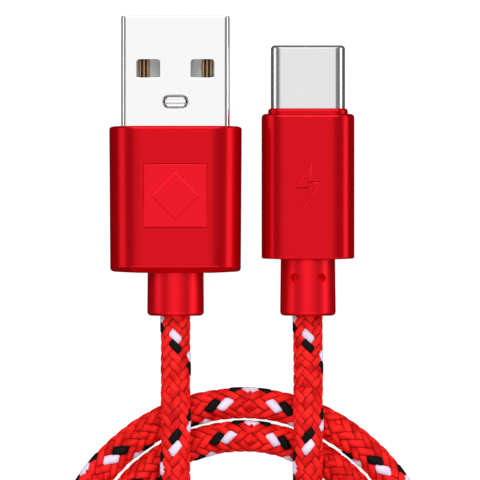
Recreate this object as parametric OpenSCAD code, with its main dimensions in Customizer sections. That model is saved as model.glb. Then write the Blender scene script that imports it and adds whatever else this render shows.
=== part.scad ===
// Braided charging cable with a USB-A plug and a USB-C plug, coiled in two flat turns.
// It lies on a table: +Z is up, and both plugs point along +Y.
// The origin is under the middle of the two plugs, on the table.

/* [Cord] */
// Outside diameter of the braided cord
cord_d = 3.4; // [3.2:0.1:3.4]
// Middle of the coil, left to right
coil_x = 1.2; // [1:0.1:1.4]
// Middle of the coil, front to back
coil_y = -46.6; // [-46.8:0.1:-46.4]
// Radius of the outer turn, at the middle of the cord
outer_turn_r = 20.2; // [20:0.1:20.4]
// Radius of the inner turn, at the middle of the cord
inner_turn_r = 16.6; // [16.4:0.1:16.8]

/* [Plugs] */
// Distance between the two plugs' middles
plug_spacing = 14.7; // [14.5:0.1:15.5]
// Reach of the strain reliefs behind the origin
relief_end = -16.6; // [-16.8:0.1:-16.4]
// Wall of the strain reliefs' free ends, taken off as an edge radius
relief_edge = 0.5; // [0.3:0.1:0.8]
// Diameter of one insulated wire inside the plugs
wire_d = 0.7; // [0.5:0.1:0.8]

/* [USB-A plug] */
// Width of the moulded housing
a_housing_w = 14.7; // [14.5:0.1:15.2]
// Thickness of the moulded housing
a_housing_h = 8.2; // [8:0.1:8.6]
// Corner radius of the housing's cross section
a_housing_r = 3.5; // [3:0.1:3.8]
// Front face of the housing
a_housing_front = 4.4; // [4:0.1:5]
// Back face of the housing
a_housing_back = -11.9; // [-12.1:0.1:-11.7]
// Tip of the metal shell
a_tip = 16.6; // [16.4:0.1:16.8]
// Width of the metal shell, as the USB-A standard gives it
a_shell_w = 12; // [12:0.1:12]
// Thickness of the metal shell, as the USB-A standard gives it
a_shell_h = 4.5; // [4.5:0.1:4.5]
// Sheet thickness of the metal shell
a_shell_wall = 0.3; // [0.25:0.05:0.35]
// Diameter of the strain relief
a_relief_d = 6.3; // [6:0.1:6.6]
// Width and length of the badge panel
badge_size = 7; // [6:0.1:7.4]

/* [USB-C plug] */
// Width of the moulded housing
c_housing_w = 10.3; // [10.2:0.1:10.8]
// Thickness of the moulded housing
c_housing_h = 6.8; // [6.8:0.1:7.2]
// Corner radius of the housing's cross section
c_housing_r = 2.6; // [2.2:0.1:3]
// Front face of the housing
c_housing_front = 5.8; // [5.6:0.1:6]
// Back face of the housing
c_housing_back = -10.4; // [-10.6:0.1:-10.3]
// Tip of the metal shell
c_tip = 13.4; // [13.2:0.1:13.6]
// Width of the metal shell, as the USB-C standard gives it
c_shell_w = 8.25; // [8.25:0.05:8.25]
// Thickness of the metal shell, as the USB-C standard gives it
c_shell_h = 2.4; // [2.4:0.05:2.4]
// Wall of the metal shell
c_shell_wall = 0.25; // [0.2:0.05:0.25]
// Diameter of the strain relief
c_relief_d = 6.2; // [6:0.1:6.2]
// Distance from one contact to the next
c_contact_pitch = 0.5; // [0.5:0.1:0.5]

/* [Hidden] */
$fn = 64;

cut = 1;            // how far a cutting shape runs past the face it cuts
snug = 0.01;        // clearance of pieces moulded or pressed into each other
slip = 0.05;        // clearance of pieces that slide over each other
edge = 0.7;         // rounding of the housings' front and back edges

// Plug middles: the box of both plugs is centred on the origin
a_x = -(plug_spacing - (a_housing_w - c_housing_w) / 2) / 2;
c_x = a_x + plug_spacing;
a_z = a_housing_h / 2;
c_z = c_housing_h / 2;

// USB-A plug, along its length
a_shell_r = 0.6;
a_shell_back = -1.5;
a_base_front = a_tip - 12.2;
a_tongue_tip = a_tip - 0.4;
a_tongue_top = -0.12;
a_contact_top = 0.06;
a_contact_w = 1.2;
a_contact_x = [-3.5, -1, 1, 3.5];
a_contact_back = -2.4;
a_shield_front = 0.5;
a_shield_back = -8.8;
a_shield_wall = 0.25;
a_shield_w = a_shell_w + 2 * slip + 2 * a_shield_wall;
a_shield_h = a_shell_h + 2 * slip + 2 * a_shield_wall;
a_flange_w = 8.4;
a_flange_back = -10.4;
a_cable_front = -6.6;
a_mould_front = -2.6;
window_x = 3;
window_y = a_tip - 5.95;
window_w = 2.6;
window_l = 2.3;
window_r = 0.35;
slot_y = 7.1;
slot_w = 2.9;
slot_l = 1.55;
seam = 0.1;
badge_y = -3.3;
badge_depth = 0.5;
badge_proud = 0.12;
diamond = 5.6;      // corner to corner
diamond_line = 0.22;
diamond_depth = 0.15;

// USB-C plug, along its length
c_shell_back = -1.2;
c_body_w = c_shell_w - 2 * c_shell_wall - 2 * snug;
c_body_h = c_shell_h - 2 * c_shell_wall - 2 * snug;
c_body_back = 0.6;
c_body_front = c_tip - 0.3;
c_slot_back = 7;
c_slot_w = 6.7;
c_slot_h = 0.84;
c_pocket_w = 6.1;
c_pocket_front = 12.2;
c_contacts = 12;
c_contact_w = 0.25;
c_contact_t = 0.12;
c_contact_z = 0.4;
c_spring_back = c_slot_back + slip;
c_latch_x = 3.42;
c_latch_t = 0.2;
c_card_w = 7.2;
c_card_h = 2 * c_contact_z;
c_card_front = 0.5;
c_card_back = -4.2;
c_tail_back = -1;
c_shield_front = 1.4;
c_shield_back = -8.6;
c_shield_w = 9.2;
c_shield_h = 4.9;
c_shield_wall = 0.2;
c_flange_w = 8;
c_flange_back = -9.8;
c_cable_front = -6.9;
c_collar_w = 8.85;
c_collar_h = 3.6;
c_collar_back = 4.8;
c_collar_front = 6.4;
dimple_x = 1.45;
dimple_y = -12.4;
dimple_d = 0.95;
dimple_floor = 2.2;
mark_y = -2.1;
mark_proud = 0.12;
mark_root = 0.5;    // how far the mark reaches into the wall of the housing

// Cord: the leads' middle lines, from each plug to the coil. Both leads cross
// over the two turns in a low hump and lie on the table inside the coil.
tube_sides = 8;
lead_a_route = [
    [-6.25, -16.6, 4.1], [-6.25, -19, 4.1], [-6.25, -22, 4.5], [-6.25, -25, 5],
    [-6.25, -28, 5.2], [-6.25, -32, 5.15], [-6.25, -35, 4.5], [-6.25, -38, 3.4],
    [-6.25, -41, 2.4], [-6.25, -44.5, 1.8], [-6.25, -48.5, 1.75], [-6.2, -52.5, 1.75],
    [-5.6, -56.1, 1.75], [-3.3, -59.7, 1.75], [0.4, -62.1, 1.75], [4.1, -62.7, 1.75],
    [7.7, -61.9, 1.75]
];
lead_c_route = [
    [8.45, -16.6, 3.4], [8.45, -19, 3.4], [8.45, -22, 3.9], [8.45, -25, 4.8],
    [8.45, -28, 5.2], [8.45, -32, 5.15], [8.45, -35, 4.5], [8.45, -38, 3.4],
    [8.45, -41, 2.4], [8.45, -44.5, 1.8], [8.45, -48.5, 1.8], [8.45, -52, 2.2],
    [8.3, -55, 3], [7.7, -57.4, 3.9], [6.3, -60.2, 4.8], [4.2, -62.5, 5.2],
    [1.5, -64.2, 5.25], [-1.5, -65.1, 5.25], [-4.6, -65.2, 5.2], [-7.6, -64.6, 5.2],
    [-10.5, -63.1, 5.1], [-14.2, -59.5, 4], [-17.1, -55.1, 2.4], [-18.7, -50.1, 1.75]
];

// ---- Shared shapes ----

module place_a() translate([a_x, 0, a_z]) children();

module place_c() translate([c_x, 0, c_z]) children();

// Outline w wide and h high, with corners of radius r
module rounded_rect(w, h, r) {
    square([w - 2 * r, h], center = true);
    if (h > 2 * r) square([w, h - 2 * r], center = true);
    for (x = [-1, 1], y = [-1, 1])
        translate([x * (w / 2 - r), y * (h / 2 - r)]) circle(r);
}

// Bar of that outline, from y0 forward to y1
module bar(w, h, r, y0, y1)
    translate([0, y1, 0]) rotate([90, 0, 0]) linear_extrude(y1 - y0) rounded_rect(w, h, r);

// Round bar, from y0 forward to y1
module round_bar(d, y0, y1)
    translate([0, y1, 0]) rotate([90, 0, 0]) cylinder(d = d, h = y1 - y0);

// Box w wide, from y0 to y1 and from z0 to z1
module block(w, y0, y1, z0, z1)
    translate([-w / 2, y0, z0]) cube([w, y1 - y0, z1 - z0]);

// Moulded housing: a bar with rounded front and back edges
module housing_block(w, h, r, y0, y1) {
    hull() {
        for (step = [[0, edge], [0.3 * edge, 0.3 * edge], [edge, 0]]) {
            inset = 2 * step[1];
            bar(w - inset, h - inset, r - step[1], y0 + step[0], y1 - step[0], $fn = 32);
        }
    }
}

function unit(v) = v / norm(v);

// Direction of a route at its point i
function heading(route, i) =
    unit(route[min(i + 1, len(route) - 1)] - route[max(i - 1, 0)]);

// Points of a tube's outline round point i of its route
function outline_at(route, i, d) =
    let (ahead = heading(route, i), side = unit(cross(ahead, [0, 0, 1])), up = cross(side, ahead))
    [for (k = [0 : tube_sides - 1])
        let (turn = 360 * (k + 0.5) / tube_sides)
        route[i] + d / 2 * (cos(turn) * side + sin(turn) * up)];

// Tube swept along a route
module tube(route, d) {
    rings = len(route);
    last = (rings - 1) * tube_sides;
    polyhedron(
        points = [for (i = [0 : rings - 1]) each outline_at(route, i, d)],
        faces = [
            [for (k = [tube_sides - 1 : -1 : 0]) k],
            [for (k = [0 : tube_sides - 1]) last + k],
            for (i = [0 : rings - 2], k = [0 : tube_sides - 1])
                let (a = i * tube_sides + k, b = i * tube_sides + (k + 1) % tube_sides)
                each [[a, b, a + tube_sides], [b, b + tube_sides, a + tube_sides]]
        ]
    );
}

// Metal ring that grips the end of the cord, with its seam underneath
module crimp_ring(front, length, d) {
    difference() {
        round_bar(d, front - length, front);
        round_bar(cord_d, front - length - cut, front + cut);
        translate([-seam / 2, front - length - cut, -d]) cube([seam, length + 2 * cut, d]);
    }
}

// Strain relief: a flange held in the housing and a barrel with a rounded end
module relief(d, flange_w, flange_h, flange_front, flange_back) {
    difference() {
        union() {
            bar(flange_w, flange_h, 1, flange_back, flange_front);
            translate([0, flange_back, 0]) rotate([90, 0, 0]) rotate_extrude() relief_outline(d, flange_back);
        }
        round_bar(cord_d, relief_end - cut, flange_front + cut);
    }
}

// Half section of the barrel, from the flange down to its rounded end
module relief_outline(d, flange_back) {
    length = flange_back - relief_end;
    square([d / 2, length - relief_edge]);
    square([d / 2 - relief_edge, length]);
    translate([d / 2 - relief_edge, length - relief_edge]) intersection() {
        circle(relief_edge);
        square(relief_edge);
    }
}

// ---- USB-A plug ----

module usb_a_shell() {
    color("silver") place_a() difference() {
        bar(a_shell_w, a_shell_h, a_shell_r, a_shell_back, a_tip);
        bar(a_shell_w - 2 * a_shell_wall, a_shell_h - 2 * a_shell_wall, a_shell_r - a_shell_wall,
            a_shell_back - cut, a_tip + cut);
        for (side = [-1, 1])
            translate([side * window_x, window_y, -a_shell_h]) linear_extrude(2 * a_shell_h)
                rounded_rect(window_w, window_l, window_r);
        translate([0, slot_y, 0]) linear_extrude(a_shell_h)
            rounded_rect(slot_w, slot_l, slot_l / 2);
        block(seam, a_shell_back - cut, a_tip + cut, -a_shell_h, 0);
    }
}

module usb_a_insulator() {
    inner_w = a_shell_w - 2 * a_shell_wall - 2 * snug;
    inner_h = a_shell_h - 2 * a_shell_wall - 2 * snug;
    color("gainsboro") place_a() difference() {
        union() {
            bar(inner_w, inner_h, 0.3, a_shell_back, a_base_front);
            block(inner_w - 1, a_base_front, a_tongue_tip, -inner_h / 2, a_tongue_top);
        }
        a_contact_strips(snug);
    }
}

// The four flat contacts, grown by a clearance where they pass the insulator
module a_contact_strips(grow = 0) {
    for (x = a_contact_x) {
        tip = a_tip - (abs(x) > 2 ? 1.7 : 2.7);
        translate([x, 0, 0]) {
            block(a_contact_w + 2 * grow, a_contact_back, tip, a_tongue_top, a_contact_top + grow);
            for (rib = [-1, 0, 1])
                translate([rib * 0.4, 0, 0])
                    block(0.2 + 2 * grow, a_contact_back, tip - 0.2, 0, a_contact_top + 0.08 + grow);
        }
    }
}

module usb_a_contacts() {
    color("goldenrod") place_a() a_contact_strips();
}

module usb_a_rear_shield() {
    color("silver") place_a() difference() {
        bar(a_shield_w, a_shield_h, 0.8, a_shield_back, a_shield_front);
        bar(a_shield_w - 2 * a_shield_wall, a_shield_h - 2 * a_shield_wall, 0.55,
            a_shield_back + a_shield_wall, a_shield_front + cut);
        round_bar(cord_d, a_shield_back - cut, a_shield_back + cut);
    }
}

module a_wire_runs(grow = 0) {
    for (i = [0 : 3]) {
        x = a_contact_x[i];
        end_x = 0.5 * sign(x);
        end_z = abs(x) > 2 ? 0.5 : -0.5;
        route = [[x, a_contact_back, 0], [x, a_contact_back - 0.6, 0],
                 [end_x, a_cable_front + 0.6, end_z], [end_x, a_cable_front, end_z]];
        tube(route, wire_d + 2 * grow);
    }
}

module usb_a_wires() {
    color("firebrick") place_a() a_wire_runs();
}

module usb_a_inner_mould() {
    color("ivory") place_a() difference() {
        bar(a_shell_w, a_shell_h, 0.5, a_cable_front + slip, a_mould_front);
        a_wire_runs(snug);
    }
}

module usb_a_crimp_ring() {
    color("darkgray") place_a() crimp_ring(a_cable_front, 1.9, 4.2);
}

module usb_a_cable_end() {
    color("red") place_a() round_bar(cord_d, relief_end, a_cable_front);
}

module usb_a_housing() {
    color("crimson") place_a() difference() {
        housing_block(a_housing_w, a_housing_h, a_housing_r, a_housing_back, a_housing_front);
        bar(a_shell_w, a_shell_h, a_shell_r, a_shield_front - cut, a_housing_front + cut);
        bar(a_shield_w + 2 * slip, a_shield_h + 2 * slip, 0.8 + slip, a_shield_back, a_shield_front + slip);
        bar(a_flange_w + 2 * slip, a_shield_h + 2 * slip, 1 + slip, a_flange_back - snug, a_shield_back + cut);
        round_bar(a_relief_d + 2 * slip, a_housing_back - cut, a_flange_back + cut);
        translate([0, badge_y, a_z - badge_depth]) linear_extrude(badge_depth + cut)
            rounded_rect(badge_size, badge_size, 0.4);
    }
}

module usb_a_badge() {
    color("red") place_a() translate([0, badge_y, a_z - badge_depth]) difference() {
        linear_extrude(badge_depth + badge_proud) rounded_rect(badge_size, badge_size, 0.4);
        translate([0, 0, badge_depth + badge_proud - diamond_depth]) rotate(45) {
            side = diamond / sqrt(2);
            difference() {
                translate([-side / 2, -side / 2, 0]) cube([side, side, cut]);
                translate([diamond_line - side / 2, diamond_line - side / 2, -cut])
                    cube([side - 2 * diamond_line, side - 2 * diamond_line, 3 * cut]);
            }
        }
    }
}

module usb_a_strain_relief() {
    color("red") place_a() relief(a_relief_d, a_flange_w, a_shield_h, a_shield_back - snug, a_flange_back);
}

// ---- USB-C plug ----

module usb_c_shell() {
    inner_h = c_shell_h - 2 * c_shell_wall;
    color("silver") place_c() difference() {
        bar(c_shell_w, c_shell_h, c_shell_h / 2, c_shell_back, c_tip);
        bar(c_shell_w - 2 * c_shell_wall, inner_h, inner_h / 2, c_shell_back - cut, c_tip + cut);
    }
}

module usb_c_insulator() {
    color("dimgray") place_c() difference() {
        bar(c_body_w, c_body_h, c_body_h / 2, c_body_back, c_body_front);
        block(c_slot_w, c_slot_back, c_tip, -c_slot_h / 2, c_slot_h / 2);
        block(c_pocket_w, c_slot_back, c_pocket_front, -c_shell_h, c_shell_h);
        block(c_shell_w, c_slot_back, c_pocket_front, -0.15, 0.15);
        block(2 * (c_latch_x + c_latch_t) + 2 * snug, 1 - snug, c_slot_back + snug,
              -c_latch_t / 2 - snug, c_latch_t / 2 + snug);
        c_tail_strips(snug);
        c_ground_pair(snug);
    }
}

// Cuts or draws the 24 straight strips behind the contact springs
module c_tail_strips(grow = 0) {
    w = c_contact_w + 2 * grow;
    for (i = [0 : c_contacts - 1], side = [-1, 1]) {
        x = (i - (c_contacts - 1) / 2) * c_contact_pitch;
        z = side * (c_contact_z + c_contact_t / 2);
        translate([x, 0, z])
            block(w, c_tail_back, c_slot_back + grow, -c_contact_t / 2 - grow, c_contact_t / 2 + grow);
    }
}

module usb_c_contact_tails() {
    color("goldenrod") place_c() c_tail_strips();
}

// One row of contact springs, each with its bump towards the middle of the slot
module c_spring_row() {
    for (i = [0 : c_contacts - 1]) {
        x = (i - (c_contacts - 1) / 2) * c_contact_pitch;
        translate([x - c_contact_w / 2, 0, 0]) rotate([90, 0, 90]) linear_extrude(c_contact_w)
            polygon([
                [c_spring_back, c_contact_z], [10.3, 0.5], [11.2, 0.28], [12, 0.56],
                [12, 0.68], [11.2, 0.42], [10.4, 0.62], [c_spring_back, c_contact_z + c_contact_t]
            ]);
    }
}

module usb_c_upper_contacts() {
    color("gold") place_c() c_spring_row();
}

module usb_c_lower_contacts() {
    color("gold") place_c() mirror([0, 0, 1]) c_spring_row();
}

module usb_c_mid_plate() {
    color("darkgray") place_c()
        block(2 * (c_latch_x + c_latch_t), 1, c_slot_back, -c_latch_t / 2, c_latch_t / 2);
}

// Side latch arm, with its hook towards the middle of the slot
module c_latch() {
    translate([0, 0, -c_latch_t / 2]) linear_extrude(c_latch_t)
        polygon([
            [c_latch_x, c_spring_back], [c_latch_x, 10.6], [3.2, 11], [3.2, 11.4], [c_latch_x, 11.8],
            [c_latch_x + c_latch_t, 11.8], [c_latch_x + c_latch_t, c_spring_back]
        ]);
}

module usb_c_latch_right() {
    color("darkgray") place_c() c_latch();
}

module usb_c_latch_left() {
    color("darkgray") place_c() mirror([1, 0, 0]) c_latch();
}

// Ground springs: a plate with two fingers above the slot, and one below it
module c_ground_pair(grow = 0) {
    outside = c_body_h / 2 + grow;
    for (flip = [0, 1]) mirror([0, 0, flip]) {
        block(5.2 + 2 * grow, 12.35 - grow, 12.95 + grow, outside - 0.1 - 2 * grow, outside);
        for (x = [-1.6, 1.6])
            translate([x, 0, 0])
                block(1.2 + 2 * grow, 12.45 - grow, 12.85 + grow, c_slot_h / 2 - 2 * grow, outside - 0.05);
    }
}

module usb_c_ground_springs() {
    color("gray") place_c() c_ground_pair();
}

module usb_c_paddle_card() {
    color("seagreen") place_c()
        block(c_card_w, c_card_back, c_card_front, -c_card_h / 2, c_card_h / 2);
}

module usb_c_resistor() {
    color("black") place_c() translate([2.8, 0, 0])
        block(0.5, -2.6, -1.6, c_card_h / 2, c_card_h / 2 + 0.35);
}

module usb_c_rear_shield() {
    color("silver") place_c() difference() {
        bar(c_shield_w, c_shield_h, 1, c_shield_back, c_shield_front);
        bar(c_shield_w - 2 * c_shield_wall, c_shield_h - 2 * c_shield_wall, 0.8,
            c_shield_back + c_shield_wall, c_shield_front - c_shield_wall);
        bar(c_shell_w, c_shell_h, c_shell_h / 2, 0, c_shield_front + cut);
        round_bar(cord_d, c_shield_back - cut, c_shield_back + cut);
    }
}

module c_wire_runs(grow = 0) {
    for (x = [-1, 1], z = [-1, 1]) {
        start = [1.5 * x, -3, z * (c_card_h / 2 + wire_d / 2)];
        end = [0.5 * x, c_cable_front, 0.5 * z];
        tube([start, start - [0, 1.4, 0], end + [0, 0.6, 0], end], wire_d + 2 * grow);
    }
}

module usb_c_wires() {
    color("firebrick") place_c() c_wire_runs();
}

module usb_c_inner_mould() {
    color("ivory") place_c() difference() {
        bar(c_shield_w - 2 * c_shield_wall - 2 * slip, c_shield_h - 2 * c_shield_wall - 2 * slip, 0.75,
            c_cable_front + slip, c_card_back - slip);
        c_wire_runs(snug);
    }
}

module usb_c_crimp_ring() {
    color("darkgray") place_c() crimp_ring(c_cable_front, 1.4, 4.2);
}

module usb_c_cable_end() {
    color("red") place_c() round_bar(cord_d, relief_end, c_cable_front);
}

module usb_c_housing() {
    color("crimson") place_c() {
        difference() {
            housing_block(c_housing_w, c_housing_h, c_housing_r, c_housing_back, c_housing_front);
            bar(c_collar_w, c_collar_h, 1.5, c_collar_back, c_housing_front + cut);
            bar(c_shell_w, c_shell_h, c_shell_h / 2, c_shield_front - cut, c_collar_back + cut);
            bar(c_shield_w + 2 * slip, c_shield_h + 2 * slip, 1 + slip, c_shield_back, c_shield_front + slip);
            bar(c_flange_w + 2 * slip, c_shield_h + 2 * slip, 1 + slip, c_flange_back - snug, c_shield_back + cut);
            round_bar(c_relief_d + 2 * slip, c_housing_back - cut, c_flange_back + cut);
        }
        translate([0, mark_y, c_z - mark_root]) linear_extrude(mark_root + mark_proud) charge_mark();
    }
}

// Plain zigzag bolt, the sign for charging
module charge_mark() {
    polygon([[0.5, 2.7], [-1.5, -0.4], [-0.2, -0.4], [-0.5, -2.7], [1.5, 0.4], [0.2, 0.4]]);
}

module usb_c_collar() {
    color("crimson") place_c() difference() {
        bar(c_collar_w, c_collar_h, 1.5, c_collar_back, c_collar_front);
        bar(c_shell_w, c_shell_h, c_shell_h / 2, c_collar_back - cut, c_collar_front + cut);
    }
}

module usb_c_strain_relief() {
    color("red") place_c() difference() {
        relief(c_relief_d, c_flange_w, c_shield_h, c_shield_back - snug, c_flange_back);
        for (x = [-1, 1], flip = [0, 1])
            mirror([0, 0, flip]) translate([x * dimple_x, dimple_y, dimple_floor])
                cylinder(d = dimple_d, h = c_relief_d, $fn = 32);
    }
}

// ---- Cord ----

module cord_lead_a() {
    color("red") tube(lead_a_route, cord_d);
}

module cord_lead_c() {
    color("red") tube(lead_c_route, cord_d);
}

// Outer shape of the two flat turns
module cord_coil() {
    color("red") translate([coil_x, coil_y, cord_d / 2]) rotate_extrude($fn = 96) {
        translate([(inner_turn_r + outer_turn_r) / 2, 0])
            square([outer_turn_r - inner_turn_r, cord_d], center = true);
        for (r = [inner_turn_r, outer_turn_r])
            translate([r, 0]) circle(d = cord_d, $fn = 32);
    }
}

usb_a_shell();
usb_a_insulator();
usb_a_contacts();
usb_a_rear_shield();
usb_a_inner_mould();
usb_a_wires();
usb_a_crimp_ring();
usb_a_cable_end();
usb_a_housing();
usb_a_badge();
usb_a_strain_relief();
usb_c_shell();
usb_c_insulator();
usb_c_upper_contacts();
usb_c_lower_contacts();
usb_c_contact_tails();
usb_c_mid_plate();
usb_c_latch_left();
usb_c_latch_right();
usb_c_ground_springs();
usb_c_paddle_card();
usb_c_resistor();
usb_c_rear_shield();
usb_c_inner_mould();
usb_c_wires();
usb_c_crimp_ring();
usb_c_cable_end();
usb_c_housing();
usb_c_collar();
usb_c_strain_relief();
cord_lead_a();
cord_coil();
cord_lead_c();
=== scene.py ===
"""Charging cable: a red braided cord with a USB-A plug and a USB-C plug, dressed round the CAD frame."""

import math

import bpy
import numpy as np
from mathutils import Matrix, Vector


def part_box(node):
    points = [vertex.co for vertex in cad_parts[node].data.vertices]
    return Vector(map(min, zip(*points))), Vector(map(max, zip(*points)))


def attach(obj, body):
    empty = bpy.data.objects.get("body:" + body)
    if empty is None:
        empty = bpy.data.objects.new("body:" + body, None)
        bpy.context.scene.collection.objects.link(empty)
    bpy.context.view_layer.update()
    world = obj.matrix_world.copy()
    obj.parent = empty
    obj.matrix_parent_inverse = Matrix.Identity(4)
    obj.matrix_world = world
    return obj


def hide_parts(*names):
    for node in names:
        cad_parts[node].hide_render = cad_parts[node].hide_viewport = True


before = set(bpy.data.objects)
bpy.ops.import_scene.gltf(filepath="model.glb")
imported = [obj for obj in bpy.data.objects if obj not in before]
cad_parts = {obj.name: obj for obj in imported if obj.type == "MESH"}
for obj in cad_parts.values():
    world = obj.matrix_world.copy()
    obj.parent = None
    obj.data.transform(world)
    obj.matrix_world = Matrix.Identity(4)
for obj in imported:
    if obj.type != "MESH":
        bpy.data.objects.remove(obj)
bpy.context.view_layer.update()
MM = 0.001
BODY = "cable"
scene = bpy.context.scene


# ---------------------------------------------------------------- camera and light

LENS, SENSOR_WIDTH = 400, 36
VIEW_WIDTH = 53.3                 # the picture's width in millimetres, at the height that the camera aims at
AIM_X, AIM_HEIGHT = 0.9, 4        # in the frame, in millimetres
AIM_BEHIND = 8.2                  # how far the aim is behind the middle of the USB-A plug, in millimetres
VIEW_END, FLOOR_SIZE = 10, 4      # in metres
FLOOR_GREY, FLOOR_GLOW, BACKDROP_GREY = 0.22, 0.93, 0.95


def make_camera():
    """Straight down on the plugs, through a long lens, with the plugs' tips at the top of the picture."""
    tip, relief_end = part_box("usb_a_shell")[1][1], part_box("usb_a_strain_relief")[0][1]
    target = Vector((AIM_X * MM, (tip + relief_end) / 2 - AIM_BEHIND * MM, AIM_HEIGHT * MM))
    distance = VIEW_WIDTH * MM * LENS / SENSOR_WIDTH
    data = bpy.data.cameras.new("camera")
    data.lens, data.sensor_width = LENS, SENSOR_WIDTH
    data.clip_start, data.clip_end = distance / 10, VIEW_END
    camera = bpy.data.objects.new("camera", data)
    camera.location = target + Vector((0, 0, distance))
    scene.collection.objects.link(camera)
    scene.camera = camera


class Sky:
    """Builds the studio's surroundings from soft-edged light boxes, each a part of the sky."""

    def __init__(self):
        world = bpy.data.worlds.new("studio")
        scene.world = world
        world.use_nodes = True
        self.tree = world.node_tree
        self.tree.nodes.clear()
        coord = self.tree.nodes.new("ShaderNodeTexCoord")
        split = self.tree.nodes.new("ShaderNodeSeparateXYZ")
        self.tree.links.new(coord.outputs["Generated"], split.inputs[0])
        self.x, self.y, self.z = split.outputs
        self.sideways = self.math("DEGREES", self.math("ARCTAN2", self.x, self.z))
        self.forward = self.math("DEGREES", self.math("ARCTAN2", self.y, self.z))

    def math(self, operation, *values):
        """The result of a maths node on numbers or other nodes' outputs."""
        node = self.tree.nodes.new("ShaderNodeMath")
        node.operation = operation
        for socket, value in zip(node.inputs, values):
            if isinstance(value, (int, float)):
                socket.default_value = value
            else:
                self.tree.links.new(value, socket)
        return node.outputs[0]

    def all_together(self, operation, sockets):
        total = sockets[0]
        for socket in sockets[1:]:
            total = self.math(operation, total, socket)
        return total

    def within(self, value, middle, half, soft):
        """1 where value is within half of middle, falling smoothly to 0 over soft."""
        ramp = self.tree.nodes.new("ShaderNodeMapRange")
        ramp.interpolation_type = "SMOOTHSTEP"
        ramp.inputs["From Min"].default_value = half + soft
        ramp.inputs["From Max"].default_value = half
        away = self.math("ABSOLUTE", self.math("SUBTRACT", value, middle))
        self.tree.links.new(away, ramp.inputs["Value"])
        return ramp.outputs["Result"]

    def light(self, strength, *masks):
        """A light box of that strength where every mask is 1."""
        return self.math("MULTIPLY", self.all_together("MULTIPLY", masks), strength)

    def finish(self, lights, backdrop):
        """Lights the scene by the light boxes, and shows the camera a plain grey of that lightness."""
        nodes, links = self.tree.nodes, self.tree.links
        lit, seen = nodes.new("ShaderNodeBackground"), nodes.new("ShaderNodeBackground")
        path, mix = nodes.new("ShaderNodeLightPath"), nodes.new("ShaderNodeMixShader")
        out = nodes.new("ShaderNodeOutputWorld")
        seen.inputs["Color"].default_value = (backdrop, backdrop, backdrop, 1)
        links.new(self.all_together("ADD", lights), lit.inputs["Strength"])
        links.new(path.outputs["Is Camera Ray"], mix.inputs["Fac"])
        links.new(lit.outputs[0], mix.inputs[1])
        links.new(seen.outputs[0], mix.inputs[2])
        links.new(mix.outputs[0], out.inputs["Surface"])


def make_studio():
    """Light boxes overhead, at both sides, past the tips and past the cord, over a plain white floor."""
    sky = Sky()
    overhead = sky.within(sky.forward, 0, 10, 7)
    beside = sky.within(sky.y, 0, 0.5, 0.3)
    between = sky.within(sky.x, 0, 0.42, 0.2)
    sky.finish([
        sky.light(0.24, sky.within(sky.z, 1, 0.95, 0.15)),               # the upper half, all round
        sky.light(0.14, sky.within(sky.z, -1, 0.8, 0.3)),                # the lower half, all round
        sky.light(1.0, sky.within(sky.sideways, 0, 10, 7), overhead),
        sky.light(0.6, sky.within(sky.sideways, -21, 3, 5), overhead),   # a narrow strip left of it
        sky.light(1.5, sky.within(sky.sideways, -74, 9, 8), beside),     # left
        sky.light(2.3, sky.within(sky.sideways, 77, 8, 8), beside),      # right
        sky.light(3.7, sky.within(sky.forward, 39, 19, 9), between),     # past the plugs' tips
        sky.light(1.7, sky.within(sky.forward, -39, 19, 9), between),    # past the cord
    ], BACKDROP_GREY)
    bpy.ops.mesh.primitive_plane_add(size=FLOOR_SIZE)
    floor = bpy.context.object
    floor.name = "floor"
    floor.visible_glossy = False
    floor.visible_diffuse = False
    paint = new_material("floor_white")
    set_inputs(shader_of(paint), {
        "Base Color": (FLOOR_GREY, FLOOR_GREY, FLOOR_GREY), "Roughness": 0.9, "Specular IOR Level": 0,
        "Emission Color": (1, 1, 1), "Emission Strength": FLOOR_GLOW})
    floor.data.materials.append(paint)


# ---------------------------------------------------------------- materials

GRAIN_HEIGHT, FIBRE_HEIGHT = 0.00001, 0.00004      # in metres
DRAWING_MARKS = (6000, 150, 6000)                  # noise cells per metre, long along the metal
METAL_STREAK = 0.05
FIBRES = (1.2, 14, 1)                              # noise cells per millimetre, along and across a float


def new_material(name):
    material = bpy.data.materials.new(name)
    material.use_nodes = True
    return material


def shader_of(material):
    return material.node_tree.nodes["Principled BSDF"]


def set_inputs(node, values):
    """Sets a node's inputs by their names. A colour is given as red, green and blue."""
    for name, value in values.items():
        socket = node.inputs[name]
        socket.default_value = (*value, 1) if socket.type == "RGBA" else value


def add_node(material, kind, **values):
    """Adds a shader node of that kind. Each value's name is an input's name, with _ for a space."""
    node = material.node_tree.nodes.new("ShaderNode" + kind)
    set_inputs(node, {name.replace("_", " "): value for name, value in values.items()})
    return node


def link(material, *pairs):
    for output, socket in pairs:
        material.node_tree.links.new(output, socket)


def uneven_gloss(material, noise, roughness, spread):
    """Lets a material's roughness follow the noise, up to spread more or less."""
    gloss = add_node(material, "MapRange", To_Min=roughness - spread, To_Max=roughness + spread)
    link(material,
         (noise.outputs["Fac"], gloss.inputs["Value"]),
         (gloss.outputs["Result"], shader_of(material).inputs["Roughness"]))


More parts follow.
